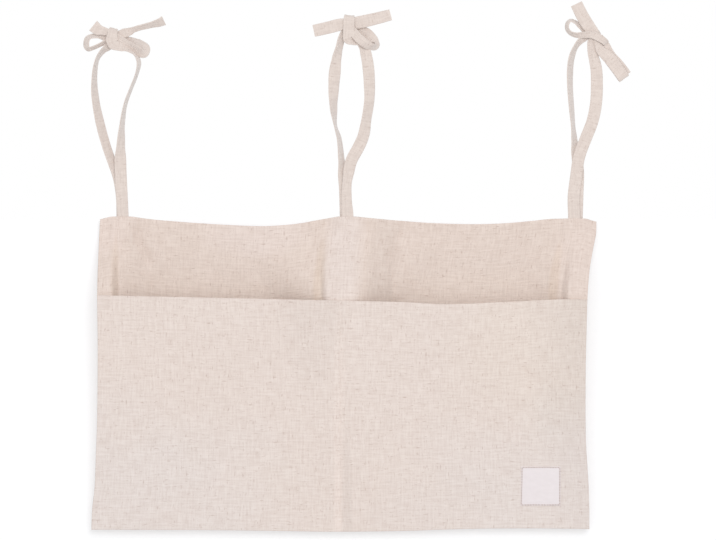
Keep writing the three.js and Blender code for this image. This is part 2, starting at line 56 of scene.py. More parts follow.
# The object's sizes, as its solids have them.
PANEL_WIDTH = 500
PANEL_HEIGHT = 315
POCKET_HEIGHT = 231
POCKET_DEPTH = 26
CLOTH = 0.9
GAP = 0.3
SEAM_WIDTH = 6
TIE_LEFT = -224.5
TIE_RIGHT = 228
TAPE_THICKNESS = 1.2
KNOT_PITCH = 1.7
SEWN_END_HEIGHT = 12
SEWN_END_THICKNESS = 1.8
LABEL_WIDTH = 39
LABEL_HEIGHT = 39
LABEL_PLACE = (193.5, 46)
HANG_HEIGHT = 174
HUNG = -(PANEL_HEIGHT + HANG_HEIGHT)

TOP_SAG_LEFT = 9.6
TOP_SAG_RIGHT = 6.6
CORNER_DROP = 3
RIGHT_TIE_DROP = 2
BOTTOM_RISE = 3.3
SIDE_FLAT_LEFT = 13
SIDE_FLAT_RIGHT = 18
SIDE_FALL_LEFT = 34
SIDE_FALL_RIGHT = 38
RIDGE_FLAT_LEFT = 11
RIDGE_FALL_LEFT = 56
RIDGE_FLAT_RIGHT = 9
RIDGE_FALL_RIGHT = 60
RIDGE_FLARE = 2
MIDDLE_SHIFT = -7
TAPE_WIDTH = 12

LAYER_OFFSET = (CLOTH + GAP) / 2
PANEL_HALF = LAYER_OFFSET + CLOTH / 2
TIE_DEPTH = -(SEWN_END_THICKNESS + GAP) / 2
STRAND_OFFSET = (TAPE_THICKNESS + GAP) / 2
NOSE_RADIUS = TAPE_THICKNESS + GAP / 2
HINGE_RISE = NOSE_RADIUS + GAP
POCKET_OFFSET = 2 * PANEL_HALF + GAP
POCKET_BOTTOM = BOTTOM_RISE + SEAM_WIDTH
TIE_HALF = TAPE_WIDTH / 2 + 3
LEAN = POCKET_DEPTH / POCKET_HEIGHT

# Forms that only the cloth has: the steps in which the panel's walls fall, as shares of a fall and as widths,
# the bulge over a sewn tie, the seam's groove with a rim on both sides, and the slow ripple of hanging cloth.
SIDE_CREASE = 0.4
RIDGE_CREASE = 0.22
CREASE_WIDTH = 7
RIDGE_STEP = 0.4
RIDGE_STEP_WIDTH = 36
TIE_BULGE_MARGIN = 2
TIE_BULGE_FALL = 7
TIE_BULGE_REACH = 2.5 * SEWN_END_HEIGHT
GROOVE_DEPTH = 0.8
GROOVE_DEPTH_LOW = 1.3
GROOVE_WIDTH = 4.5
GROOVE_START = 20
RIM_HEIGHT = 0.6
RIM_PLACE = 11
RIM_WIDTH = 7
BACK_RIPPLE = 0.7
BACK_RIPPLE_SIZE = 90
BACK_RIPPLE_SEED = 4
BACK_STILL_FOOT = 120
BACK_STILL_TOP = 14
POCKET_RIPPLE = 0.6
POCKET_RIPPLE_SIZE = 120
POCKET_RIPPLE_SEED = 11
POCKET_STILL_SIDE = 30
RIPPLE_WAVES = 9


# Shapes of the cloth, as functions of a place across and a height. All of them take numbers or numpy arrays.
def smooth(t):
    t = np.clip(t, 0, 1)
    return t * t * (3 - 2 * t)


def mix(a, b, t):
    return a + (b - a) * t


def through(points, place):
    """A smooth run through the points (place, value) of a short outline."""
    places, values = np.array(points, float).T
    slopes = np.gradient(values) / np.gradient(places)
    slopes[0] = (values[1] - values[0]) / (places[1] - places[0])
    slopes[-1] = (values[-1] - values[-2]) / (places[-1] - places[-2])
    place = np.clip(place, places[0], places[-1])
    i = np.clip(np.searchsorted(places, place) - 1, 0, len(places) - 2)
    span = places[i + 1] - places[i]
    t = (place - places[i]) / span
    bend = slopes[i] * (1 - t) - slopes[i + 1] * t
    return mix(values[i], values[i + 1], smooth(t)) + span * t * (1 - t) * bend


# The outline: how far each side edge is drawn in by its share of the height, the sags of the top edge as
# shares of their span and depth, and the bottom edge's rise and the mouth's height by the share of the width.
LEFT_DRAWN = [
    (0, -5.6), (0.07, -4.6), (0.14, -2), (0.25, -0.4), (0.36, 1.1), (0.6, 2.2), (0.8, 1.8), (0.92, 2.1),
    (1, 3.2),
]
RIGHT_DRAWN = [
    (0, 7.8), (0.07, 8), (0.15, 8.9), (0.3, 11.9), (0.5, 12.5), (0.65, 11.8), (0.75, 10.9), (0.83, 8.3),
    (0.9, 4), (0.945, 1), (1, 0.6),
]
SAG_LEFT = [
    (0, 0), (0.09, 0.27), (0.235, 0.55), (0.43, 0.83), (0.62, 1), (0.72, 0.92), (0.82, 0.7), (0.91, 0.34),
    (1, 0),
]
SAG_RIGHT = [
    (0, 0), (0.067, 0.2), (0.21, 0.58), (0.35, 0.86), (0.54, 1), (0.69, 0.85), (0.83, 0.44), (0.92, 0.1),
    (1, 0),
]
BOTTOM_DRAWN = [
    (-0.5, 0.58), (-0.25, 0.45), (-0.12, 0.18), (-0.04, 0), (0.04, 0.06), (0.12, 0.27), (0.25, 0.88),
    (0.38, 1), (0.5, 0.7),
]
MOUTH_DRAWN = [
    (-0.5, 5.5), (-0.3, 3.3), (-0.05, 0.5), (0.1, -1.2), (0.2, -3.4), (0.33, -0.8), (0.42, 1.3), (0.5, 1.2),
]
TIES = {
    "left": (TIE_LEFT, PANEL_HEIGHT),
    "centre": (0, PANEL_HEIGHT),
    "right": (TIE_RIGHT, PANEL_HEIGHT - RIGHT_TIE_DROP),
}


def left_edge(z):
    return -PANEL_WIDTH / 2 + through(LEFT_DRAWN, z / PANEL_HEIGHT)


def right_edge(z):
    return PANEL_WIDTH / 2 - through(RIGHT_DRAWN, z / PANEL_HEIGHT)


def middle_at(z):
    return MIDDLE_SHIFT * (1 - smooth((z - POCKET_HEIGHT) / (PANEL_HEIGHT - POCKET_HEIGHT)))


def top_edge(x):
    left, left_top = TIES["left"]
    centre, centre_top = TIES["centre"]
    right, right_top = TIES["right"]
    to_left = (x - left - TIE_HALF) / (centre - left - 2 * TIE_HALF)
    to_right = (x - centre - TIE_HALF) / (right - centre - 2 * TIE_HALF)
    left_part = left_top - TOP_SAG_LEFT * through(SAG_LEFT, to_left)
    right_line = mix(centre_top, right_top, np.clip(to_right, 0, 1))
    right_part = right_line - TOP_SAG_RIGHT * through(SAG_RIGHT, to_right)
    corner_left = CORNER_DROP * smooth((left - TIE_HALF - x) / (left - TIE_HALF + PANEL_WIDTH / 2))
    corner_right = CORNER_DROP * smooth((x - right - TIE_HALF) / (PANEL_WIDTH / 2 - right - TIE_HALF))
    return np.where(x < centre, left_part, right_part) - corner_left - corner_right


def bottom_edge(x):
    return BOTTOM_RISE * through(BOTTOM_DRAWN, x / PANEL_WIDTH)


def mouth_edge(x):
    return POCKET_HEIGHT + through(MOUTH_DRAWN, x / PANEL_WIDTH)


def pocket_plane(z):
    return -LEAN * z - POCKET_OFFSET


def falling(distance, flat, fall):
    """1 up to the end of a flat stretch, and from there down to 0."""
    return 1 - smooth((distance - flat) / fall)


def creased(distance, flat, fall, share, width=CREASE_WIDTH):
    """A fall that starts with a narrow step, where the cloth is creased."""
    step = falling(distance, flat, width)
    return mix(falling(distance, flat, fall), step, share)


def forward_share(x, z):
    """How far the back panel reaches forward to the pocket: fully at its sides and its middle ridge."""
    above = np.clip((z - POCKET_HEIGHT) / (PANEL_HEIGHT - POCKET_HEIGHT), 0, 1)
    flare = mix(1, RIDGE_FLARE, above)
    off = x - middle_at(z)
    left_side = creased(x - left_edge(z), SIDE_FLAT_LEFT, SIDE_FALL_LEFT, SIDE_CREASE)
    right_side = creased(right_edge(z) - x, SIDE_FLAT_RIGHT, SIDE_FALL_RIGHT, SIDE_CREASE)
    flat_left, fall_left = RIDGE_FLAT_LEFT * flare, RIDGE_FALL_LEFT * flare
    flat_right, fall_right = RIDGE_FLAT_RIGHT * flare, RIDGE_FALL_RIGHT * flare
    ridge_left = creased(-off, flat_left, fall_left, RIDGE_CREASE)
    ridge_right = creased(off, flat_right, fall_right, RIDGE_STEP, RIDGE_STEP_WIDTH)
    ridge = np.where(off < 0, ridge_left, ridge_right)
    return np.maximum(np.maximum(left_side, right_side), ridge)


def back_depth(x, z):
    above = smooth((z - POCKET_HEIGHT) / (PANEL_HEIGHT - SEWN_END_HEIGHT - POCKET_HEIGHT))
    forward = np.where(z < POCKET_HEIGHT, LEAN * np.maximum(z, 0), POCKET_DEPTH * (1 - above))
    return -forward * forward_share(x, z)


def tie_bulge(x, z):
    """How far the panel's face is lifted over the sewn ends of the ties."""
    near = np.min([np.abs(x - tie[0]) for tie in TIES.values()], axis=0)
    across = 1 - smooth((near - TAPE_WIDTH / 2 - TIE_BULGE_MARGIN) / TIE_BULGE_FALL)
    upward = smooth((z - PANEL_HEIGHT + TIE_BULGE_REACH) / SEWN_END_HEIGHT)
    return (SEWN_END_THICKNESS + GAP) * across * upward


# The share of a fold's length over which it fades at each end.
FOLD_END = 0.3


def fold(x, z, start, stop, width, height):
    """A soft ridge (or, below zero, a crease) along a line between two points (x, z)."""
    (x0, z0), (x1, z1) = start, stop
    length = math.hypot(x1 - x0, z1 - z0)
    along = ((x - x0) * (x1 - x0) + (z - z0) * (z1 - z0)) / length**2
    off = ((x - x0) * (z1 - z0) - (z - z0) * (x1 - x0)) / length
    ends = smooth(along / FOLD_END) * smooth((1 - along) / FOLD_END)
    return height * np.exp(-((off / width) ** 2)) * ends


def ripple(x, z, seed, size):
    """Slow, even unevenness of hanging cloth, between -1 and 1."""
    total = np.zeros_like(x * 1.0)
    state = np.random.RandomState(seed)
    for _ in range(RIPPLE_WAVES):
        angle = state.uniform(0, math.pi)
        wave = size * state.uniform(0.6, 1.7)
        phase = state.uniform(0, 2 * math.pi)
        total += np.sin(2 * math.pi * (x * math.cos(angle) + z * math.sin(angle)) / wave + phase)
    return total / RIPPLE_WAVES


# The panel's folds, each from one point (x, z) to another, with a width and a height: creases are below zero.
BACK_FOLDS = [
    ((-226, 318), (-207, 262), 6, 1.2),
    ((-219, 318), (-194, 258), 4, -3.4),
    ((-42, 312), (-26, 250), 8, -2),
    ((60, 314), (38, 262), 4, -2.6),
    ((44, 292), (45, 190), 3, -2.2),
]


def back_folds(x, z):
    total = BACK_RIPPLE * ripple(x, z, BACK_RIPPLE_SEED, BACK_RIPPLE_SIZE)
    for start, stop, width, height in BACK_FOLDS:
        total = total + fold(x, z, start, stop, width, height)
    return total * smooth(z / BACK_STILL_FOOT) * smooth((top_edge(x) - z) / BACK_STILL_TOP)


def pocket_folds(x, z):
    """How far the pocket front stands forward of its plane: it is pulled in along the middle seam."""
    off = x - MIDDLE_SHIFT
    edge = smooth(np.minimum(x - left_edge(z), right_edge(z) - x) / POCKET_STILL_SIDE)
    lower = 1 - smooth(z / POCKET_HEIGHT)
    groove = (GROOVE_DEPTH + GROOVE_DEPTH_LOW * lower) * np.exp(-((off / GROOVE_WIDTH) ** 2))
    rims = RIM_HEIGHT * np.exp(-(((np.abs(off) - RIM_PLACE) / RIM_WIDTH) ** 2))
    slow = POCKET_RIPPLE * edge * ripple(x, z, POCKET_RIPPLE_SEED, POCKET_RIPPLE_SIZE)
    return (rims - groove) * smooth(z / GROOVE_START) + slow


# Meshes. An edge is sharp above this angle in degrees.
SHARP_ANGLE = 55


def linked(name, data):
    """A new object in the scene, with this mesh, light or camera."""
    thing = bpy.data.objects.new(name, data)
    bpy.context.collection.objects.link(thing)
    return thing


def mesh_object(name, vertices, faces, uvs, material):
    """An object of vertices in millimetres and heights from the panel's lowest point."""
    points = np.asarray(vertices, float).reshape(-1, 3) + [0, 0, HUNG]
    mesh = bpy.data.meshes.new(name)
    mesh.from_pydata((points * MM).tolist(), [], faces)
    layer = mesh.uv_layers.new(name="cloth")
    loops = np.zeros(len(mesh.loops), int)
    mesh.loops.foreach_get("vertex_index", loops)
    layer.data.foreach_set("uv", (np.asarray(uvs)[loops] * MM).ravel())
    mesh.polygons.foreach_set("use_smooth", [True] * len(mesh.polygons))
    mesh.update()
    mesh.set_sharp_from_angle(angle=math.radians(SHARP_ANGLE))
    mesh.materials.append(material)
    return linked(name, mesh)


# Where a rounded edge gets its extra rows of points, in from its end.
ROUND_PLACES = (0.03, 0.12, 0.27, 0.5, 1.2)
# How far a layer closes on the cloth's middle at its rounded edge, as a share of its offset.
EDGE_CLOSING = 0.25
# How far the inner side of a cloth lies from its outer side in the uv map.
INNER_UV = 700


def spaced(start, stop, step, round_start=True, round_stop=True):
    """Places from start to stop, with extra ones near an end that has a rounded edge."""
    count = max(2, math.ceil(abs(stop - start) / step))
    places = list(np.linspace(start, stop, count + 1))
    if round_start:
        places += [start + place for place in ROUND_PLACES]
    if round_stop:
        places += [stop - place for place in ROUND_PLACES]
    return np.array(sorted(places))


def edge_round(distance, half):
    """The share of a cloth's half thickness at a distance from its rounded edge."""
    t = np.clip(distance / half, 0, 1)
    return np.sqrt(1 - (1 - t) ** 2)


def walked(points, axis):
    """The length along a surface, from its first row or column of points to each of its points."""
    steps = np.linalg.norm(np.diff(points, axis=axis), axis=2).cumsum(axis=axis)
    return np.concatenate([np.zeros_like(steps.take([0], axis)), steps], axis=axis)


def edge_reach(from_left, from_low, rounded):
    """How far each point lies from the nearest rounded edge."""
    edges = {
        "left": from_left,
        "right": from_left[:, -1:] - from_left,
        "low": from_low,
        "high": from_low[-1:, :] - from_low,
    }
    return np.min([edges[edge] for edge in rounded], axis=0)


def cloth_layer(across, up, surface, offset, half, rounded):
    """One layer of cloth on a surface. rounded names the edges that are rounded: left, right, low, high."""
    u, v = np.meshgrid(across, up)
    middle = surface(u, v)
    normal = np.cross(np.gradient(middle, axis=1), np.gradient(middle, axis=0))
    normal /= np.linalg.norm(normal, axis=2, keepdims=True)
    from_left = walked(middle, 1)
    from_low = walked(middle, 0)
    reach = edge_reach(from_left, from_low, rounded)
    thick = half * edge_round(reach, half)
    centre = offset * (1 - EDGE_CLOSING * (1 - smooth(reach / (2 * half))))
    front = middle + normal * (centre + thick)[..., None]
    back = middle + normal * (centre - thick)[..., None]
    rows, columns = u.shape
    index = np.arange(rows * columns).reshape(rows, columns)
    a, b, c, d = index[:-1, :-1], index[:-1, 1:], index[1:, 1:], index[1:, :-1]
    quads = np.stack([a, b, c, d], axis=-1).reshape(-1, 4)
    count = rows * columns
    vertices = np.concatenate([front.reshape(-1, 3), back.reshape(-1, 3)])
    faces = np.concatenate([quads, quads[:, ::-1] + count])
    places = np.meshgrid(from_left.mean(axis=0) + across[0], from_low.mean(axis=1) + up[0])
    flat = np.stack(places, axis=-1).reshape(-1, 2)
    uvs = np.concatenate([flat, flat + INNER_UV])
    for edge, line in (("left", index[:, 0]), ("right", index[::-1, -1])):
        if edge not in rounded:
            end = np.stack([line[:-1], line[1:], line[1:] + count, line[:-1] + count], axis=-1)
            faces = np.concatenate([faces, end])
    # Where the two sides of the cloth meet, they share one vertex.
    closed = np.isclose(thick.reshape(-1), 0)
    shared = np.arange(2 * count)
    shared[count:][closed] = np.arange(count)[closed]
    return vertices, shared[faces], uvs


def join_layers(layers):
    """Vertices, faces and uvs of several layers as one mesh."""
    vertices, faces, uvs = [], [], []
    start = 0
    for points, quads, flat in layers:
        vertices.append(points)
        faces.append(quads + start)
        uvs.append(flat)
        start += len(points)
    faces = [list(dict.fromkeys(face)) for face in np.concatenate(faces).tolist()]
    faces = [face for face in faces if len(face) > 2]
    return np.concatenate(vertices), faces, np.concatenate(uvs)


def tube_faces(first, rows, sides):
    """The faces of a tube of rings of vertices, with both ends closed."""
    faces = []
    for row in range(rows - 1):
        start = first + row * sides
        for i in range(sides):
            a, b = start + i, start + (i + 1) % sides
            faces.append([a, b, b + sides, a + sides])
    faces.append([first + i for i in reversed(range(sides))])
    faces.append([first + (rows - 1) * sides + i for i in range(sides)])
    return faces


# Materials. The cloth's own flat coordinates, in metres, are in the uv map "cloth".
# The colour sockets of a Mix node: its two inputs and its result.
MIX_FIRST = 6
MIX_SECOND = 7
MIX_RESULT = 2


class Nodes:
    """Short calls for building the nodes of a material or a world."""

    def __init__(self, owner, shader="Principled BSDF"):
        owner.use_nodes = True
        self.owner = owner
        self.tree = owner.node_tree
        self.shader = self.tree.nodes[shader]

    def add(self, kind, **settings):
        node = self.tree.nodes.new("ShaderNode" + kind)
        for key, value in settings.items():
            setattr(node, key, value)
        return node

    def link(self, value, socket):
        if isinstance(value, bpy.types.NodeSocket):
            self.tree.links.new(value, socket)
        else:
            socket.default_value = value

    def shaded(self, values):
        """Gives inputs of the shader, by name, a fixed value or a node's result."""
        for name, value in values.items():
            self.link(value, self.shader.inputs[name])
        return self.owner

    def math(self, operation, a, b=0.0):
        node = self.add("Math", operation=operation)
        self.link(a, node.inputs[0])
        self.link(b, node.inputs[1])
        return node.outputs[0]

    def flat(self):
        """The cloth's coordinates: across and along, in metres."""
        uv = self.add("UVMap", uv_map="cloth")
        split = self.add("SeparateXYZ")
        self.link(uv.outputs[0], split.inputs[0])
        return split.outputs[0], split.outputs[1]

    def noise(self, u, v, across, along, detail=2):
        """Noise between 0 and 1, with its grains to the metre across and along."""
        wide = self.math("MULTIPLY", u, across)
        high = self.math("MULTIPLY", v, along)
        place = self.add("CombineXYZ")
        self.link(wide, place.inputs[0])
        self.link(high, place.inputs[1])
        node = self.add("TexNoise")
        node.inputs["Scale"].default_value = 1
        node.inputs["Detail"].default_value = detail
        self.link(place.outputs[0], node.inputs["Vector"])
        return node.outputs["Fac"]

    def range(self, value, low, high, to_low=0, to_high=1):
        node = self.add("MapRange")
        for socket, number in zip(node.inputs, [value, low, high, to_low, to_high]):
            self.link(number, socket)
        return node.outputs[0]

    def mixed(self, factor, first, second, way="MIX"):
        """Two colours mixed: the second one replaces or multiplies the first one by the factor."""
        mixer = self.add("Mix", data_type="RGBA", blend_type=way)
        self.link(factor, mixer.inputs["Factor"])
        self.link(first, mixer.inputs[MIX_FIRST])
        self.link(second, mixer.inputs[MIX_SECOND])
        return mixer.outputs[MIX_RESULT]

    def ribs(self, value, pitch):
        """Rounded ribs, one to each pitch in metres."""
        return self.math("ABSOLUTE", self.math("SINE", self.math("MULTIPLY", value, math.pi / pitch)))

    def bump(self, height, distance, strength, under=None):
        node = self.add("Bump")
        node.inputs["Distance"].default_value = distance
        node.inputs["Strength"].default_value = strength
        self.link(height, node.inputs["Height"])
        if under is not None:
            self.link(under, node.inputs["Normal"])
        return node.outputs[0]


def colour(red, green, blue):
    """A display colour, 0 to 255, as the shader's linear colour."""
    parts = [c / 255 for c in (red, green, blue)]
    return [c / 12.92 if c <= 0.04045 else ((c + 0.055) / 1.055) ** 2.4 for c in parts] + [1.0]


# Patches on the linen, most of them painted light and shade: darker along creases, on slopes turned from the
# light and on one flank of the seam's groove, lighter on the ridge that comes forward, low in the recess
# behind the pocket's mouth, on the groove's other flank and in a few more places; a few only tint it, cooler
# toward the pocket's lower corners. Each gives across and along its middle, its reach both ways, and what
# red, green and blue are multiplied by.
POCKET_PAINTED_SHADE_AND_TINT = [
    ((-0.26, 0), (0.19, 0.13), (0.991, 1.014, 1.036)),
    ((0.26, 0), (0.19, 0.12), (0.991, 1.014, 1.036)),
    ((0.272, 0.2), (0.072, 0.2), (0.935, 0.94, 0.945)),
    ((-0.035, 0.23), (0.03, 0.07), (0.965, 0.965, 0.965)),
    ((-0.007, 0.1), (0.006, 0.12), (1.03, 1.03, 1.03)),
    ((-0.009, 0), (0.004, 0.07), (1.035, 1.035, 1.035)),
    ((0, 0), (0.005, 0.1), (0.955, 0.955, 0.955)),
    ((0.205, 0.2), (0.1, 0.1), (1, 1, 0.985)),
]
BACK_PAINTED_SHADE = [
    ((-0.232, 0.245), (0.005, 0.04), (1, 0.985, 0.955)),
    ((0.217, 0.245), (0.005, 0.04), (0.985, 0.965, 0.93)),
    ((-0.023, 0.245), (0.006, 0.04), (0.97, 0.95, 0.91)),
    ((-0.13, 0.225), (0.1, 0.035), (1.045, 1.05, 1.045)),
    ((0.12, 0.225), (0.1, 0.035), (1.045, 1.05, 1.045)),
    ((-0.001, 0.26), (0.019, 0.08), (1.03, 1.055, 1.085)),
    ((0.041, 0.27), (0.015, 0.05), (0.95, 0.95, 0.95)),
    ((0.24, 0.28), (0.025, 0.05), (1.02, 1.02, 1.03)),
    ((-0.245, 0.31), (0.03, 0.03), (1.04, 1.04, 1.05)),
    ((-0.09, 0.3), (0.05, 0.02), (1.03, 1.04, 1.06)),
]


# A patch's edge strays by slow noise. Its tint fades in between these squared shares of its reach.
PATCH_GRAIN = 14
PATCH_STRAY = 1.6
PATCH_EDGE = 1.6
PATCH_CORE = 0.3


def painted_shade_patches(n, base, u, v, shade_patches):
    """The base colour, with each patch's painted shade, painted light or tint fading in toward its middle."""

    def squared(value, middle, reach):
        share = n.math("DIVIDE", n.math("SUBTRACT", value, middle), reach)
        return n.math("POWER", n.math("ABSOLUTE", share), 2)

    grain = n.noise(u, v, PATCH_GRAIN, PATCH_GRAIN)
    stray = n.math("MULTIPLY", n.math("SUBTRACT", grain, 0.5), PATCH_STRAY)
    for (across, along), (wide, high), tint in shade_patches:
        distance = n.math("ADD", squared(u, across, wide), squared(v, along, high))
        near = n.range(n.math("ADD", distance, stray), PATCH_EDGE, PATCH_CORE)
        base = n.mixed(near, base, (*tint, 1), "MULTIPLY")
    return base


# The linen: the pitch of its threads, the grains of its noises, the stretches of noise that become tone,
# flecks and roughness, and the depths of its bumps.
THREAD_PITCH = 0.00062
SLUB_LENGTHWISE = 60
SLUB_CROSSWISE = 560
FLECK_LENGTHWISE = 150
FLECK_CROSSWISE = 640
SLOW_GRAIN = 9
SLOW_SHARE = 0.25
TONE_STRETCH = (0.39, 0.61)
FLECK_STRETCH = (0.64, 0.78)
FLECK_STRENGTH = 0.5
ROUGH_STRETCH = (0.4, 0.6)
ROUGH_LEVELS = (0.95, 0.85)
THREAD_BUMP = 0.0001
SLUB_BUMP = 0.0014


def linen(name, light, dark, fleck, shade_patches=(), sheen=0.12):
    """Plain linen: crossing threads, slubs both ways, darker flecks and slow unevenness, under any patches of
    painted shade it is given.
    """
    n = Nodes(bpy.data.materials.new(name))
    u, v = n.flat()
    threads = n.math("ADD", n.ribs(u, THREAD_PITCH), n.ribs(v, THREAD_PITCH))
    across = n.noise(u, v, SLUB_LENGTHWISE, SLUB_CROSSWISE, detail=4)
    along = n.noise(u, v, SLUB_CROSSWISE, SLUB_LENGTHWISE, detail=4)
    slubs = n.math("MULTIPLY", n.math("ADD", across, along), 0.5)
    slow = n.noise(u, v, SLOW_GRAIN, SLOW_GRAIN)
    tone = n.math("MULTIPLY", n.range(slubs, *TONE_STRETCH), 1 - SLOW_SHARE)
    base = n.mixed(n.math("ADD", tone, n.math("MULTIPLY", slow, SLOW_SHARE)), dark, light)
    upright = n.noise(u, v, FLECK_CROSSWISE, FLECK_LENGTHWISE, detail=1)
    level = n.noise(u, v, FLECK_LENGTHWISE, FLECK_CROSSWISE, detail=1)
    specks = n.range(n.math("MAXIMUM", upright, level), *FLECK_STRETCH, 0.0, FLECK_STRENGTH)
    base = painted_shade_patches(n, n.mixed(specks, base, fleck), u, v, shade_patches)
    weave = n.bump(threads, THREAD_BUMP, 0.4)
    return n.shaded({
        "Base Color": base,
        "Normal": n.bump(slubs, SLUB_BUMP, 0.6, under=weave),
        "Roughness": n.range(slubs, *ROUGH_STRETCH, *ROUGH_LEVELS),
        "Specular IOR Level": 0.15,
        "Sheen Weight": sheen,
        "Sheen Roughness": 0.6,
    })


LABEL_RIB_PITCH = 0.0004
LABEL_PICK_PITCH = 0.00028
LABEL_BUMP = 0.00006


def label_cloth():
    """A fine, smooth woven label: close ribs across and a faint satin gloss."""
    n = Nodes(bpy.data.materials.new("label_cloth"))
    u, v = n.flat()
    wear = n.noise(u, v, 120, 240, detail=3)
    base = n.mixed(wear, colour(229, 221, 222), colour(240, 232, 234))
    picks = n.math("MULTIPLY", n.ribs(u, LABEL_PICK_PITCH), 0.5)
    height = n.math("ADD", n.ribs(v, LABEL_RIB_PITCH), picks)
    return n.shaded({
        "Base Color": base,
        "Normal": n.bump(height, LABEL_BUMP, 0.6),
        "Roughness": 0.6,
        "Specular IOR Level": 0.3,
        "Sheen Weight": 0.1,
    })


TWIST_AROUND = 1500
TWIST_ALONG = 2600


def thread_cotton(name, light, dark):
    """Twisted sewing thread: slanted strands along its length."""
    n = Nodes(bpy.data.materials.new(name))
    u, v = n.flat()
    slant = n.math("ADD", n.math("MULTIPLY", u, TWIST_AROUND), n.math("MULTIPLY", v, TWIST_ALONG))
    twist = n.math("ABSOLUTE", n.math("SINE", slant))
    return n.shaded({
        "Base Color": n.mixed(twist, dark, light),
        "Normal": n.bump(twist, THREAD_BUMP, 0.8),
        "Roughness": 0.75,
    })


POCKET_LINEN = linen(
    "pocket_linen", colour(236, 224, 217), colour(222, 207, 199), colour(186, 162, 150), POCKET_PAINTED_SHADE_AND_TINT
)
# The back panel is the same linen as the pocket, its colours made darker and warmer: painted shade of the
# recess behind the pocket.
BACK_LINEN_PAINTED_SHADE = linen(
    "back_linen_painted_shade", colour(233, 218, 209), colour(218, 201, 191), colour(182, 157, 144), BACK_PAINTED_SHADE
)
TAPE_LINEN = linen(
    "tape_linen", colour(231, 218, 210), colour(217, 203, 195), colour(186, 164, 153), sheen=0.8
)
LABEL_CLOTH = label_cloth()
# The label's stitches are real, but their thread is darker than its own colour: painted shade along the
# label's raised edge.
LABEL_THREAD_WITH_EDGE_SHADE = thread_cotton("label_thread", colour(192, 172, 160), colour(156, 130, 116))
SEAM_THREAD = thread_cotton("seam_thread", colour(233, 221, 213), colour(214, 198, 189))


# The back panel: a face and a lining that meet at its edges.
def back_surface(across, up):
    share = across / PANEL_WIDTH + 0.5
    low = bottom_edge(mix(left_edge(0), right_edge(0), share))
    high = top_edge(mix(left_edge(PANEL_HEIGHT), right_edge(PANEL_HEIGHT), share))
    z = mix(low, high, up / PANEL_HEIGHT)
    x = mix(left_edge(z), right_edge(z), share)
    return np.stack([x, back_depth(x, z) - back_folds(x, z), z], axis=-1)


def face_surface(across, up):
    middle = back_surface(across, up)
    middle[..., 1] -= tie_bulge(middle[..., 0], middle[..., 2])
    return middle


# The steps between the cloth's points, which are finer round the three narrow creases.
STEP_ACROSS = 2.5
STEP_UP = 3
CREASE_PLACES = (-231, -21, 217)
CREASE_STEPS = np.arange(-8, 8.5, 0.8)
half_width = PANEL_WIDTH / 2
back_across = spaced(-half_width, half_width, STEP_ACROSS)
creases_across = [place + step for place in CREASE_PLACES for step in CREASE_STEPS]
back_across = sorted(set(back_across) | set(creases_across))
back_up = spaced(0, PANEL_HEIGHT, STEP_UP)
every_edge = ("left", "right", "low", "high")
for node, surface, offset in [
    ("back_panel_face", face_surface, LAYER_OFFSET),
    ("back_panel_lining", back_surface, -LAYER_OFFSET),
]:
    layer = cloth_layer(back_across, back_up, surface, offset, CLOTH / 2, every_edge)
    piece = mesh_object(f"{node}_cloth", *join_layers([layer]), BACK_LINEN_PAINTED_SHADE)
    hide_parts(node)
    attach(piece, "panel")


# The pocket front. Each half is one cloth, made as three pieces: two outer strips beside its sewn edges and
# the free field between them.
BEND_WIDTH = 58


def pocket_surface(across, up):
    """across is a place on the line at half the pocket's height, and up the height above the bottom edge."""
    low = bottom_edge(across)
    z = mix(low, mouth_edge(across), up / POCKET_HEIGHT)
    half = POCKET_HEIGHT / 2
    share = (across - left_edge(half)) / (right_edge(half) - left_edge(half))
    inner = (MIDDLE_SHIFT - left_edge(half)) / (right_edge(half) - left_edge(half))
    left = mix(left_edge(z), MIDDLE_SHIFT, share / inner)
    right = mix(MIDDLE_SHIFT, right_edge(z), (share - inner) / (1 - inner))
    x = np.where(share < inner, left, right)
    return np.stack([x, pocket_plane(z) - pocket_folds(x, z), z], axis=-1)


def pocket_piece(name, start, stop, rounded, nodes):
    across = spaced(start, stop, STEP_ACROSS, "left" in rounded, "right" in rounded)
    up = spaced(0, POCKET_HEIGHT, STEP_UP)
    edges = ("low", "high", *rounded)
    offsets = (LAYER_OFFSET, -LAYER_OFFSET)
    layers = [cloth_layer(across, up, pocket_surface, offset, CLOTH / 2, edges) for offset in offsets]
    piece = mesh_object(name, *join_layers(layers), POCKET_LINEN)
    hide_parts(*nodes)
    return piece


pocket_left_end = float(left_edge(POCKET_HEIGHT / 2))
pocket_right_end = float(right_edge(POCKET_HEIGHT / 2))
halves = {
    "left": (pocket_left_end, MIDDLE_SHIFT),
    "right": (MIDDLE_SHIFT, pocket_right_end),
}


def follow_strip(piece):
    """Bakes a piece's transform into its mesh."""
    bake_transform(piece)


def follow_field(piece):
    """Bakes a piece's transform into its mesh."""
    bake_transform(piece)


for side, (start, stop) in halves.items():
    body = f"pocket_{side}"
    first_end = start + BEND_WIDTH
    last_start = stop - BEND_WIDTH
    field = [f"pocket_front_{side}_face", f"pocket_front_{side}_lining"]
    if side == "left":
        first = pocket_piece(f"{body}_cloth_first", start, first_end, ["left"], ["pocket_sewn_edge_left"])
        last = pocket_piece(f"{body}_cloth_last", last_start, stop, [], ["pocket_sewn_edge_middle"])
        field.append("pocket_sewn_edge_bottom")
    else:
        first = pocket_piece(f"{body}_cloth_first", start, first_end, [], [])
        last = pocket_piece(f"{body}_cloth_last", last_start, stop, ["right"], ["pocket_sewn_edge_right"])
    middle = pocket_piece(f"{body}_cloth_field", first_end, last_start, [], field)
    follow_strip(first)
    follow_strip(last)
    follow_field(middle)


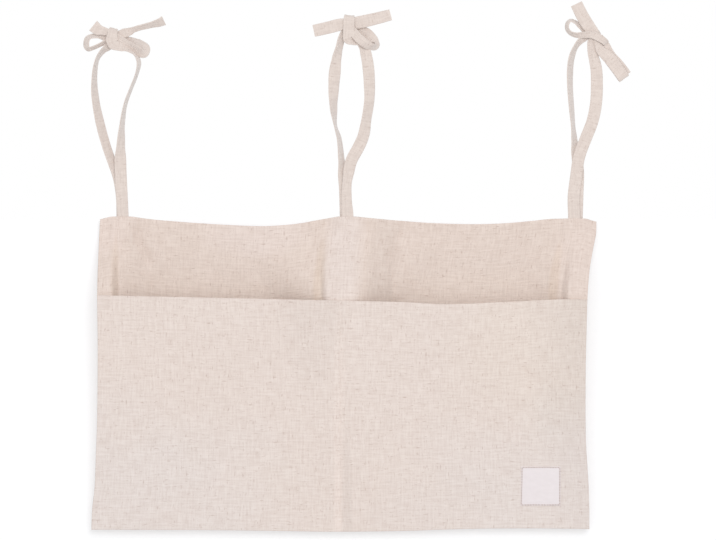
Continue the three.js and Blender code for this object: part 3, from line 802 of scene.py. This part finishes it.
# The tapes. A route is a list of [x, depth to the back, height, width, turn]: x and height from the hinge at
# the tie's root, and turn in degrees out of the picture plane, left out where it is 0.
REAR = 2 * KNOT_PITCH
BACK = KNOT_PITCH
INNER = 0
FRONT = -KNOT_PITCH
BAND = -2 * KNOT_PITCH
BEHIND = STRAND_OFFSET
AHEAD = -STRAND_OFFSET

ROUTES = {}
ROUTES["left_rear"] = [
    [-0.5, BEHIND, 0, 11], [-1, BEHIND, 20, 11.5], [-5, 1.4, 41, 11.5, 12], [-12.5, 2, 58, 11, 40],
    [-21, 1, 86, 11.5, 42], [-27, 0, 116, 12, 56], [-28, 0, 138, 12, 68], [-25, 0, 156, 12, 76],
    [-19, 0.8, 164.5, 11, 66], [-12.5, BACK, 170, 8, 20], [-9.5, BACK, 175, 7], [-11.5, BACK, 178, 6.5],
    [-17, BACK, 177.7, 7.4, 12], [-24.5, 1, 178.8, 7.5, 52], [-32, 0.4, 178.2, 8, 52],
    [-35.4, 0.2, 175.4, 8, 42], [-36, 0, 168.6, 8, 42], [-34.4, 0, 165.9, 7.5, 54],
    [-30, 0, 166.7, 6.5, 60], [-22.5, 0, 170, 6.5, 60], [-17, 0, 172.6, 7, 48],
    [-12, INNER, 175, 7.6, 5], [-4, INNER, 179.6, 8.2], [2, -0.8, 181.6, 9.5], [7, -0.9, 183.1, 8, 5],
    [11, -0.7, 185, 7, 40], [17.5, -0.5, 187.1, 7.5, 48], [27.5, 0, 189.6, 8.5, 50],
    [37, 0, 192.2, 11, 46], [41.5, 0, 194.2, 12, 40],
]
ROUTES["left_front"] = [
    [0.5, AHEAD, 0, 11.5], [-1, AHEAD, 26, 12], [-2, -1, 50, 12, 8], [-1.5, -1, 71, 11.5, 48],
    [0, -1, 92, 12, 70], [3.2, -1, 111, 12, 78], [8.7, -1, 126, 12, 80], [14.5, -1, 141, 12, 80],
    [16.5, -1, 153, 12, 72], [12.5, -1.5, 161, 11, 74], [5, -2.6, 166.2, 9.5, 50],
    [-2.5, BAND, 168, 9, 10], [-9, BAND, 170.6, 11], [-10.4, BAND, 175, 12], [-9.6, BAND, 181, 10],
    [-8.7, 0, 186.4, 8.5], [-8.8, REAR, 182, 8.5], [-5, REAR, 177.5, 8], [2.5, 3.6, 175.2, 8, 20],
    [10.5, 3.2, 174, 10, 48], [17.5, 2.2, 171.3, 12, 50], [22.8, 0.3, 166.6, 12, 40],
    [21, -2.2, 161.8, 12, 36], [15.5, -3, 163.4, 12, 44], [9, -3, 167.8, 11, 46],
    [3.5, -2.4, 171.8, 8, 30], [-2, FRONT, 175.5, 7.5], [-8, FRONT, 179.5, 7], [-13.5, FRONT, 182.3, 7],
    [-19.5, -2, 183.8, 8.5], [-25, -2.2, 185.6, 11.5], [-29.2, -2.3, 189, 12.5],
]
ROUTES["centre_rear"] = [
    [-1.5, BEHIND, 0, 11.5], [-2.5, BEHIND, 30, 11.5], [-5.5, 1.6, 54.5, 12, 60],
    [-7.8, 1, 76.5, 12, 68], [-11.4, 0, 88.5, 12, 78], [-13.5, 0, 108, 12, 52],
    [-13.3, 0, 126.5, 12, 28], [-12.3, 0, 141.5, 12, 10], [-10.3, 0, 156.5, 11.5, 35],
    [-7.8, 0.5, 167, 11, 50], [-5, 1.2, 178, 9, 40], [-1, BACK, 186, 8], [-5, BACK, 190.5, 8],
    [-14, BACK, 188.5, 10], [-23, BACK, 186.3, 10.5], [-26, 0.9, 185.6, 10.5],
    [-23, INNER, 186.3, 10.5], [-14, INNER, 188.5, 10], [-4, INNER, 190, 9], [3.5, INNER, 190.9, 10],
    [10.5, -0.2, 192.2, 12.4], [19.5, -0.3, 194, 12.4], [33, -0.5, 197.2, 11.8], [43.7, 0, 200, 11.2],
]
ROUTES["centre_front"] = [
    [0.5, AHEAD, 0, 12], [-0.5, AHEAD, 16.5, 10.5, 3], [0, -1.1, 31.5, 9.5, 6],
    [2, -1.4, 44.5, 11.5, 6], [4.5, -1, 54.5, 12, 5], [11, -1, 66.5, 12], [16.5, -1, 79, 12, 15],
    [19.5, -1, 96, 12, 35], [22.3, -1, 114, 12, 32], [22.4, -1, 131, 12, 20],
    [21.4, -0.5, 146.5, 12, 12], [19.2, 0, 160, 11.5, 8], [16, 0.6, 169, 10, 20],
    [11, 0.2, 172.6, 9, 46], [5.6, -2, 173.8, 9.5, 32], [1.6, BAND, 176, 11], [1.6, BAND, 181, 11.2],
    [1.7, BAND, 187, 11.2], [2.1, BAND, 195, 11.2], [2.5, 0, 199.2, 10.2], [3.2, REAR, 195.5, 9],
    [6, REAR, 189.5, 9], [13.5, 3.6, 185, 10.5, 4], [20.5, 3.6, 180.4, 12, 8],
    [25.2, 3.2, 175.6, 12, 20], [28.4, 2, 171.4, 11.5, 48], [28, 0, 168.4, 10.5, 66],
    [24.6, -2.2, 167.7, 10, 56], [20.2, -4, 169.6, 9.5, 24], [15.4, -4.7, 173.2, 9.5, 6],
    [11, -4.6, 177, 9.5, 2], [8, -4, 180.6, 9], [4.8, -1.9, 184.5, 8.5], [1, FRONT, 187.5, 9],
    [-3.5, FRONT, 190.4, 11.5], [-8.5, -1.8, 189.7, 12.4], [-16.5, -2, 187.6, 12.4],
    [-26, -2, 185.4, 12.2], [-33.3, -2, 183.8, 12],
]
ROUTES["right_rear"] = [
    [2, BEHIND, 0, 11.5], [2.8, BEHIND, 25, 11.5], [3.4, 1.5, 45, 11.5, 4], [1.5, 3, 62, 11.5, 26],
    [-0.5, 2.6, 76.5, 12, 58], [-1.8, 0.5, 90, 12, 68], [-3.5, 0, 109, 12, 62], [-5, 0, 130, 12, 60],
    [-5, 0, 146, 12, 57], [-3.5, 0, 159, 11.5, 57], [1, 0.8, 170.5, 9.5, 60], [6, 1.4, 176.5, 8, 40],
    [10, BACK, 179.5, 7], [11.5, BACK, 183, 7], [9.5, 2, 187, 7, 20], [5, 2.2, 191, 7, 40],
    [0.5, 1.8, 194.6, 7, 58], [-4.5, 1, 196.3, 7, 64], [-7.6, 0.5, 193.2, 7, 62], [-7.8, 0, 188, 7, 62],
    [-5, -0.5, 184, 7, 60], [1, -1.2, 181.6, 7, 48], [7, -2.6, 181.6, 7, 30], [13.5, BAND, 182, 6.8, 5],
    [18.6, BAND, 181.2, 7.4], [23.8, BAND, 179, 7.8], [28.8, -3.6, 175.6, 7], [31.2, -0.8, 173.4, 6.6],
    [29.4, BACK, 175, 7], [26.6, BACK, 178, 7], [25.2, 1, 179.4, 7], [26.8, 0.3, 177.2, 7.5],
    [31, 0.3, 169, 10.5], [34.6, 0.4, 161, 12], [41.4, 0.4, 153.6, 12], [46.6, 0.4, 147.2, 12],
    [50.8, 0.3, 141.3, 12],
]
ROUTES["right_front"] = [
    [-1, AHEAD, 0, 12], [-1.5, AHEAD, 20, 12], [1, -1, 40, 12], [4, -1, 60, 12], [11, -1, 79, 12],
    [17.5, -1, 96, 12], [21, -1, 114, 12], [21.8, -1, 134, 12], [21, -1, 149, 12, 10],
    [18, -0.6, 162, 11, 18], [16.5, 0, 172, 9, 8], [17, 0, 178, 8], [18.5, 0.5, 182.5, 7.5],
    [20.5, 2, 184.6, 7.5], [22, REAR, 182.5, 8], [24, REAR, 177, 8.5], [27.6, 3.2, 168.5, 10.5],
    [33.4, 3, 159.8, 12], [42.1, 2.8, 148.4, 12], [47.5, 2.1, 140.6, 12], [49.1, 0.3, 138.4, 12],
    [47.5, -1.5, 140.6, 12], [42.1, -1.8, 148.4, 12.3], [33.4, -2, 159.4, 12.3],
    [26.2, -1.6, 165.6, 10], [23, -1.2, 172.4, 7], [22, FRONT, 180, 7.5], [17.5, FRONT, 186, 11],
    [12.7, -2, 191.8, 12.6], [6.5, -2, 202, 12.6], [1.2, -2, 212.8, 12.2],
]


def spline(points, at):
    """A point of the smooth curve through the points, where at counts the spans from the first point."""
    i = min(int(at), len(points) - 2)
    t = at - i
    p1, p2 = points[i], points[i + 1]
    p0 = points[i - 1] if i else 2 * p1 - p2
    p3 = points[i + 2] if i + 2 < len(points) else 2 * p2 - p1
    d0, d1, d2 = (max(np.linalg.norm(b - a), 1e-6) ** 0.5 for a, b in [(p0, p1), (p1, p2), (p2, p3)])
    m1 = ((p1 - p0) / d0 - (p2 - p0) / (d0 + d1) + (p2 - p1) / d1) * d1
    m2 = ((p2 - p1) / d1 - (p3 - p1) / (d1 + d2) + (p3 - p2) / d2) * d1
    return p1 + m1 * t + (3 * (p2 - p1) - 2 * m1 - m2) * t**2 + (2 * (p1 - p2) + m1 + m2) * t**3


def unit(vector):
    return vector / np.linalg.norm(vector)


# The rings to a span of a tape's route, and the reach both ways over which its direction is taken.
RING_STEPS = 10
DIRECTION_REACH = 0.01
# Where the tape runs this close to straight in or out, its width keeps the direction it had.
LEAST_LEVEL = 0.4


def tape_rings(route):
    """The centre, width direction, thickness direction and width at each step along a tape."""
    route = [[*stop, 0][:5] for stop in route]
    points = np.array([stop[:3] for stop in route], float)
    spans = len(route) - 1
    base = np.array([1.0, 0, 0])
    rings = []
    for k in range(spans * RING_STEPS + 1):
        at = k / RING_STEPS
        i = min(int(at), spans - 1)
        before = spline(points, max(at - DIRECTION_REACH, 0))
        after = spline(points, min(at + DIRECTION_REACH, spans))
        ahead = unit(after - before)
        if k == 0:
            ahead = np.array([0, 0, 1.0])
        level = np.array([ahead[2], 0, -ahead[0]])
        if np.linalg.norm(level) > LEAST_LEVEL:
            base = unit(level) * (-1 if level @ base < 0 else 1)
        width, turn = (mix(route[i][n], route[i + 1][n], smooth(at - i)) for n in (3, 4))
        angle = math.radians(turn)
        wide = base * math.cos(angle) + np.array([0, math.sin(angle), 0])
        wide = unit(wide - ahead * (wide @ ahead))
        rings.append((spline(points, at), wide, np.cross(wide, ahead), width))
    return rings


def soften(values, times):
    """Averages each value with its neighbours, leaving the ends."""
    values = np.array(values, float)
    for _ in range(times):
        values[1:-1] = 0.25 * values[:-2] + 0.5 * values[1:-1] + 0.25 * values[2:]
    return values


# A tape's section: the shares of its half width that have points, its square folded edges, the shallow hollow
# along its middle, and the pleat into which a gathered tape falls.
SECTION_SHARES = np.array([-1, -0.97, -0.88, -0.7, -0.45, -0.2, 0, 0.2, 0.45, 0.7, 0.88, 0.97, 1])
EDGE_SQUARENESS = 9
HOLLOW_DEPTH = 0.18
HOLLOW_WIDTH = 0.55
PLEAT_WAVES = 2.5
PLEAT_HEIGHT = 0.5
# The tape goes on below its route, down into the seam, by these drops.
SEWN_DROPS = (1.5, 4, 8, 12)
# Where a tape starts in the uv map.
TAPE_UV_ACROSS = TAPE_WIDTH / 2
TAPE_UV_ALONG = 40


def tape_section(width):
    """The outline of a tape's section as (across, out) pairs."""
    pleat = PLEAT_HEIGHT * (1 - min(width / TAPE_WIDTH, 1))
    square = np.sqrt(np.clip(1 - np.abs(SECTION_SHARES) ** EDGE_SQUARENESS, 0, 1))
    hollow = 1 - HOLLOW_DEPTH * np.exp(-((SECTION_SHARES / HOLLOW_WIDTH) ** 2))
    thick = TAPE_THICKNESS / 2 * square * hollow
    wave = pleat * np.cos(SECTION_SHARES * PLEAT_WAVES * math.pi)
    across = SECTION_SHARES * width / 2
    front = list(zip(across, wave + thick))
    back = list(zip(across[-2:0:-1], (wave - thick)[-2:0:-1]))
    return front + back


def tape_line(route):
    """The centres, width directions, thickness directions and widths of a tape, with the end in the seam."""
    centres, wides, thins, widths = (list(part) for part in zip(*tape_rings(route)))
    sewn = np.array([route[0][0], route[0][1], 0])
    for drop in SEWN_DROPS:
        centres.insert(0, sewn + [0, 0, -drop])
        for part in (wides, thins, widths):
            part.insert(0, part[0])
    centres, wides, thins = (soften(part, 3) for part in (centres, wides, thins))
    return centres, [unit(wide) for wide in wides], [unit(thin) for thin in thins], widths


def tape_piece(name, side, strand):
    root_x, root_top = TIES[side]
    centres, wides, thins, widths = tape_line(ROUTES[f"{side}_{strand}"])
    lengths = np.concatenate([[0], np.linalg.norm(np.diff(centres, axis=0), axis=1).cumsum()])
    vertices, uvs = [], []
    for centre, wide, thin, width, length in zip(centres, wides, thins, widths, lengths):
        section = tape_section(width)
        for across, depth in section:
            vertices.append(centre + wide * across + thin * depth)
            uvs.append((across * TAPE_WIDTH / width + TAPE_UV_ACROSS, length + TAPE_UV_ALONG))
    faces = tube_faces(0, len(centres), len(section))
    points = np.array(vertices) + [root_x, TIE_DEPTH, root_top + HINGE_RISE]
    piece = mesh_object(name, points, faces, uvs, TAPE_LINEN)
    nodes = [f"tie_{side}_{strand}_tape"]
    if strand == "front":
        nodes.append(f"tie_{side}_sewn_end")
    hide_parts(*nodes)
    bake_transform(piece)
    return piece


for side in TIES:
    for strand in ("rear", "front"):
        tape_piece(f"tie_{side}_{strand}_tape_cloth", side, strand)


# The label, a folded patch on the right pocket, and the stitches around it.
OUTWARD = np.array([0, -1, -LEAN]) / math.hypot(1, LEAN)
LABEL_HALF_THICKNESS = 0.3
LABEL_STEP = 1.2
# The label's left edge leans by this much, and its field is puffed up between its stitched edges.
LABEL_LEAN = 0.7
LABEL_LIFT = 0.35
LABEL_PUFF = 0.35
LABEL_PUFF_WIDTH = 6
LABEL_RIPPLE = 0.12
LABEL_RIPPLE_SIZE = 16
LABEL_RIPPLE_SEED = 21


def on_pocket(x, z, height):
    """A point above the right pocket's face, from a place on it and a height over it."""
    plane = np.stack([x, pocket_plane(z) - pocket_folds(x, z), z], axis=-1)
    return plane + OUTWARD * (PANEL_HALF + np.asarray(height)[..., None])


def label_surface(across, up):
    label_x, label_z = LABEL_PLACE
    s, t = across / LABEL_WIDTH, up / LABEL_HEIGHT
    x = label_x + across - LABEL_LEAN * (0.5 - t) * (s < 0)
    z = label_z + up
    inset = np.minimum(0.5 - np.abs(s), 0.5 - np.abs(t)) * LABEL_WIDTH
    puff = LABEL_LIFT + LABEL_PUFF * smooth(inset / LABEL_PUFF_WIDTH)
    return on_pocket(x, z, puff + LABEL_RIPPLE * ripple(x, z, LABEL_RIPPLE_SEED, LABEL_RIPPLE_SIZE))


label_across = spaced(-LABEL_WIDTH / 2, LABEL_WIDTH / 2, LABEL_STEP)
label_up = spaced(-LABEL_HEIGHT / 2, LABEL_HEIGHT / 2, LABEL_STEP)
label_layer = cloth_layer(label_across, label_up, label_surface, 0, LABEL_HALF_THICKNESS, every_edge)
label = mesh_object("label_patch", *join_layers([label_layer]), LABEL_CLOTH)
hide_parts("label")
follow_strip(label)


# A stitch: its place along its half length, and its size and lift there as shares of the thread's thickness.
STITCH_PROFILE = [
    (-1, 0.02, -0.6), (-0.85, 0.6, -0.1), (-0.4, 1, 0.25), (0.4, 1, 0.25), (0.85, 0.6, -0.1),
    (1, 0.02, -0.6),
]
STITCH_SIDES = 8
# How the thread is laid out in the uv map: from side to side, and from stitch to stitch.
STITCH_UV_ACROSS = 0.2
STITCH_UV_ALONG = 3


def stitches(name, runs, surface, thickness, length, gap, node, material):
    """Rows of short rounded stitches along straight runs, each from one point to another on the surface."""
    vertices, faces, uvs = [], [], []
    angles = [2 * math.pi * i / STITCH_SIDES for i in range(STITCH_SIDES)]
    for start, stop in runs:
        start, stop = np.array(start, float), np.array(stop, float)
        total = np.linalg.norm(stop - start)
        direction = np.array([stop[0] - start[0], 0, stop[1] - start[1]]) / total
        sideways = unit(np.cross(direction, OUTWARD))
        count = max(1, int(total / (length + gap)))
        for k in range(count):
            faces += tube_faces(len(vertices), len(STITCH_PROFILE), STITCH_SIDES)
            for along, size, lift in STITCH_PROFILE:
                x, z = start + (stop - start) * ((k + 0.5) / count + 0.5 * length / total * along)
                centre = surface(np.array(x), np.array(z), np.array(lift * thickness))
                for i, angle in enumerate(angles):
                    rim = sideways * math.cos(angle) + OUTWARD * math.sin(angle)
                    vertices.append(centre + rim * size * thickness / 2)
                    uvs.append((i * STITCH_UV_ACROSS, k * STITCH_UV_ALONG + along))
    piece = mesh_object(name, vertices, faces, uvs, material)
    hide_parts(node)
    return piece


def above_label(x, z, lift):
    label_x, label_z = LABEL_PLACE
    return label_surface(x - label_x, z - label_z) + OUTWARD * (LABEL_HALF_THICKNESS + lift)


STITCH_INSET = 0.8
stitch_x = LABEL_WIDTH / 2 - STITCH_INSET
stitch_z = LABEL_HEIGHT / 2 - STITCH_INSET
label_corners = [
    (LABEL_PLACE[0] + across * stitch_x, LABEL_PLACE[1] + up * stitch_z)
    for across, up in [(-1, -1), (1, -1), (1, 1), (-1, 1)]
]
label_runs = list(zip(label_corners, label_corners[1:] + label_corners[:1]))
label_stitches = stitches(
    "label_stitches", label_runs, above_label,
    thickness=0.7, length=2.1, gap=0.4, node="label_thread", material=LABEL_THREAD_WITH_EDGE_SHADE,
)
follow_strip(label_stitches)

seam_run = [((MIDDLE_SHIFT, POCKET_BOTTOM), (MIDDLE_SHIFT, POCKET_HEIGHT - SEAM_WIDTH))]
seam_stitches = stitches(
    "middle_seam_stitches", seam_run, on_pocket,
    thickness=0.5, length=2.4, gap=0.9, node="middle_seam_thread", material=SEAM_THREAD,
)
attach(seam_stitches, "panel")


# The stage: a small white wall close behind the panel, which takes its soft shadow, and a pale floor below.
def stage_material(name, lift, upright=False):
    """White for the camera: the lit surface with a little added, so that only its shadow is grey.

    It is clear from behind and to every ray but the camera's, and an upright one also while it doesn't stand.
    """
    n = Nodes(bpy.data.materials.new(name))
    n.tree.nodes.remove(n.shader)
    output = n.tree.nodes["Material Output"]
    rough = n.add("BsdfDiffuse")
    rough.inputs["Color"].default_value = colour(211, 212, 214)
    added = n.add("Emission")
    rays = n.add("LightPath")
    n.link(n.math("MULTIPLY", rays.outputs["Is Camera Ray"], lift), added.inputs["Strength"])
    both = n.add("AddShader")
    n.link(rough.outputs[0], both.inputs[0])
    n.link(added.outputs[0], both.inputs[1])
    clear = n.add("BsdfTransparent")
    side = n.add("NewGeometry")
    unseen = n.math("SUBTRACT", 1, rays.outputs["Is Camera Ray"])
    let_through = n.math("MAXIMUM", side.outputs["Backfacing"], unseen)
    if upright:
        facing = n.add("SeparateXYZ")
        n.link(side.outputs["Normal"], facing.inputs[0])
        lying = n.math("GREATER_THAN", n.math("ABSOLUTE", facing.outputs[2]), 0.5)
        let_through = n.math("MAXIMUM", let_through, lying)
    choose = n.add("MixShader")
    n.link(let_through, choose.inputs[0])
    n.link(both.outputs[0], choose.inputs[1])
    n.link(clear.outputs[0], choose.inputs[2])
    n.link(choose.outputs[0], output.inputs["Surface"])
    return n.owner


def stage_plane(name, half, near, far, material):
    """A plane between two level edges, each given by its depth and height, in metres."""
    corners = [(-half, *near), (half, *near), (half, *far), (-half, *far)]
    mesh = bpy.data.meshes.new(name)
    mesh.from_pydata(corners, [], [(0, 1, 2, 3)])
    mesh.materials.append(material)
    plane = linked(name, mesh)
    return plane


PANEL_FOOT_Z = HUNG * MM
PANEL_TOP_Z = PANEL_FOOT_Z + PANEL_HEIGHT * MM
WALL_HALF = 0.5
WALL_FOOT = (0.014, PANEL_FOOT_Z - 0.06)
WALL_TOP = (0.008, PANEL_TOP_Z - 0.004)
WALL_LIFT = 0.375
FLOOR_HALF = 1.6
FLOOR_NEAR = (-2, PANEL_FOOT_Z - 0.25)
FLOOR_FAR = (0.014, PANEL_FOOT_Z - 0.25)
FLOOR_LIFT = 0.5
white = stage_material("stage_white", WALL_LIFT, upright=True)
pale = stage_material("stage_pale", FLOOR_LIFT)
stage_plane("floor", FLOOR_HALF, FLOOR_NEAR, FLOOR_FAR, pale)
# The wall goes with the panel, so that it never hides a panel that swings back.
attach(stage_plane("wall", WALL_HALF, WALL_FOOT, WALL_TOP, white), "panel")


# Light: an even white surround, a large soft key from the upper right, and a weak fill from the left.
def surround(strength):
    """A world that lights with this strength and looks white."""
    world = bpy.data.worlds.new("surround")
    bpy.context.scene.world = world
    n = Nodes(world, "Background")
    rays = n.add("LightPath")
    seen = rays.outputs["Is Camera Ray"]
    for other in ("Is Glossy Ray", "Is Transmission Ray"):
        seen = n.math("MAXIMUM", seen, rays.outputs[other])
    n.shaded({"Color": (1, 1, 1, 1), "Strength": n.range(seen, 0, 1, strength, 1)})



def soft_light(name, place, target, size, power):
    light = bpy.data.lights.new(name, "AREA")
    light.shape = "DISK"
    light.size = size
    light.energy = power
    lamp = linked(name, light)
    lamp.location = place
    lamp.rotation_euler = (Vector(target) - Vector(place)).to_track_quat("-Z", "Y").to_euler()


surround(0.67)
panel_middle = (0, 0, -0.3)
soft_light("key", (0.48, -3.2, 0.75), panel_middle, size=1.6, power=35.5)
soft_light("fill", (-0.7, -3.2, -0.3), panel_middle, size=2, power=12)


# The camera looks straight at the panel, as the photograph does: one millimetre at the panel is one pixel.
IMAGE_WIDTH, IMAGE_HEIGHT = 716, 540
CENTRE_LINE_PIXEL = 347
LOWEST_PIXEL = 531.5
CAMERA_DISTANCE = 4
SENSOR_WIDTH = 36
camera_data = bpy.data.cameras.new("camera")
camera_data.sensor_width = SENSOR_WIDTH
camera_data.lens = SENSOR_WIDTH * CAMERA_DISTANCE / (IMAGE_WIDTH * MM)
camera = linked("camera", camera_data)
aim_x = (IMAGE_WIDTH / 2 - CENTRE_LINE_PIXEL) * MM
aim_z = (LOWEST_PIXEL - IMAGE_HEIGHT / 2 + HUNG) * MM
camera.location = (aim_x, -CAMERA_DISTANCE, aim_z)
camera.rotation_euler = (math.pi / 2, 0, 0)
bpy.context.scene.camera = camera
bpy.context.scene.view_settings.view_transform = "Standard"
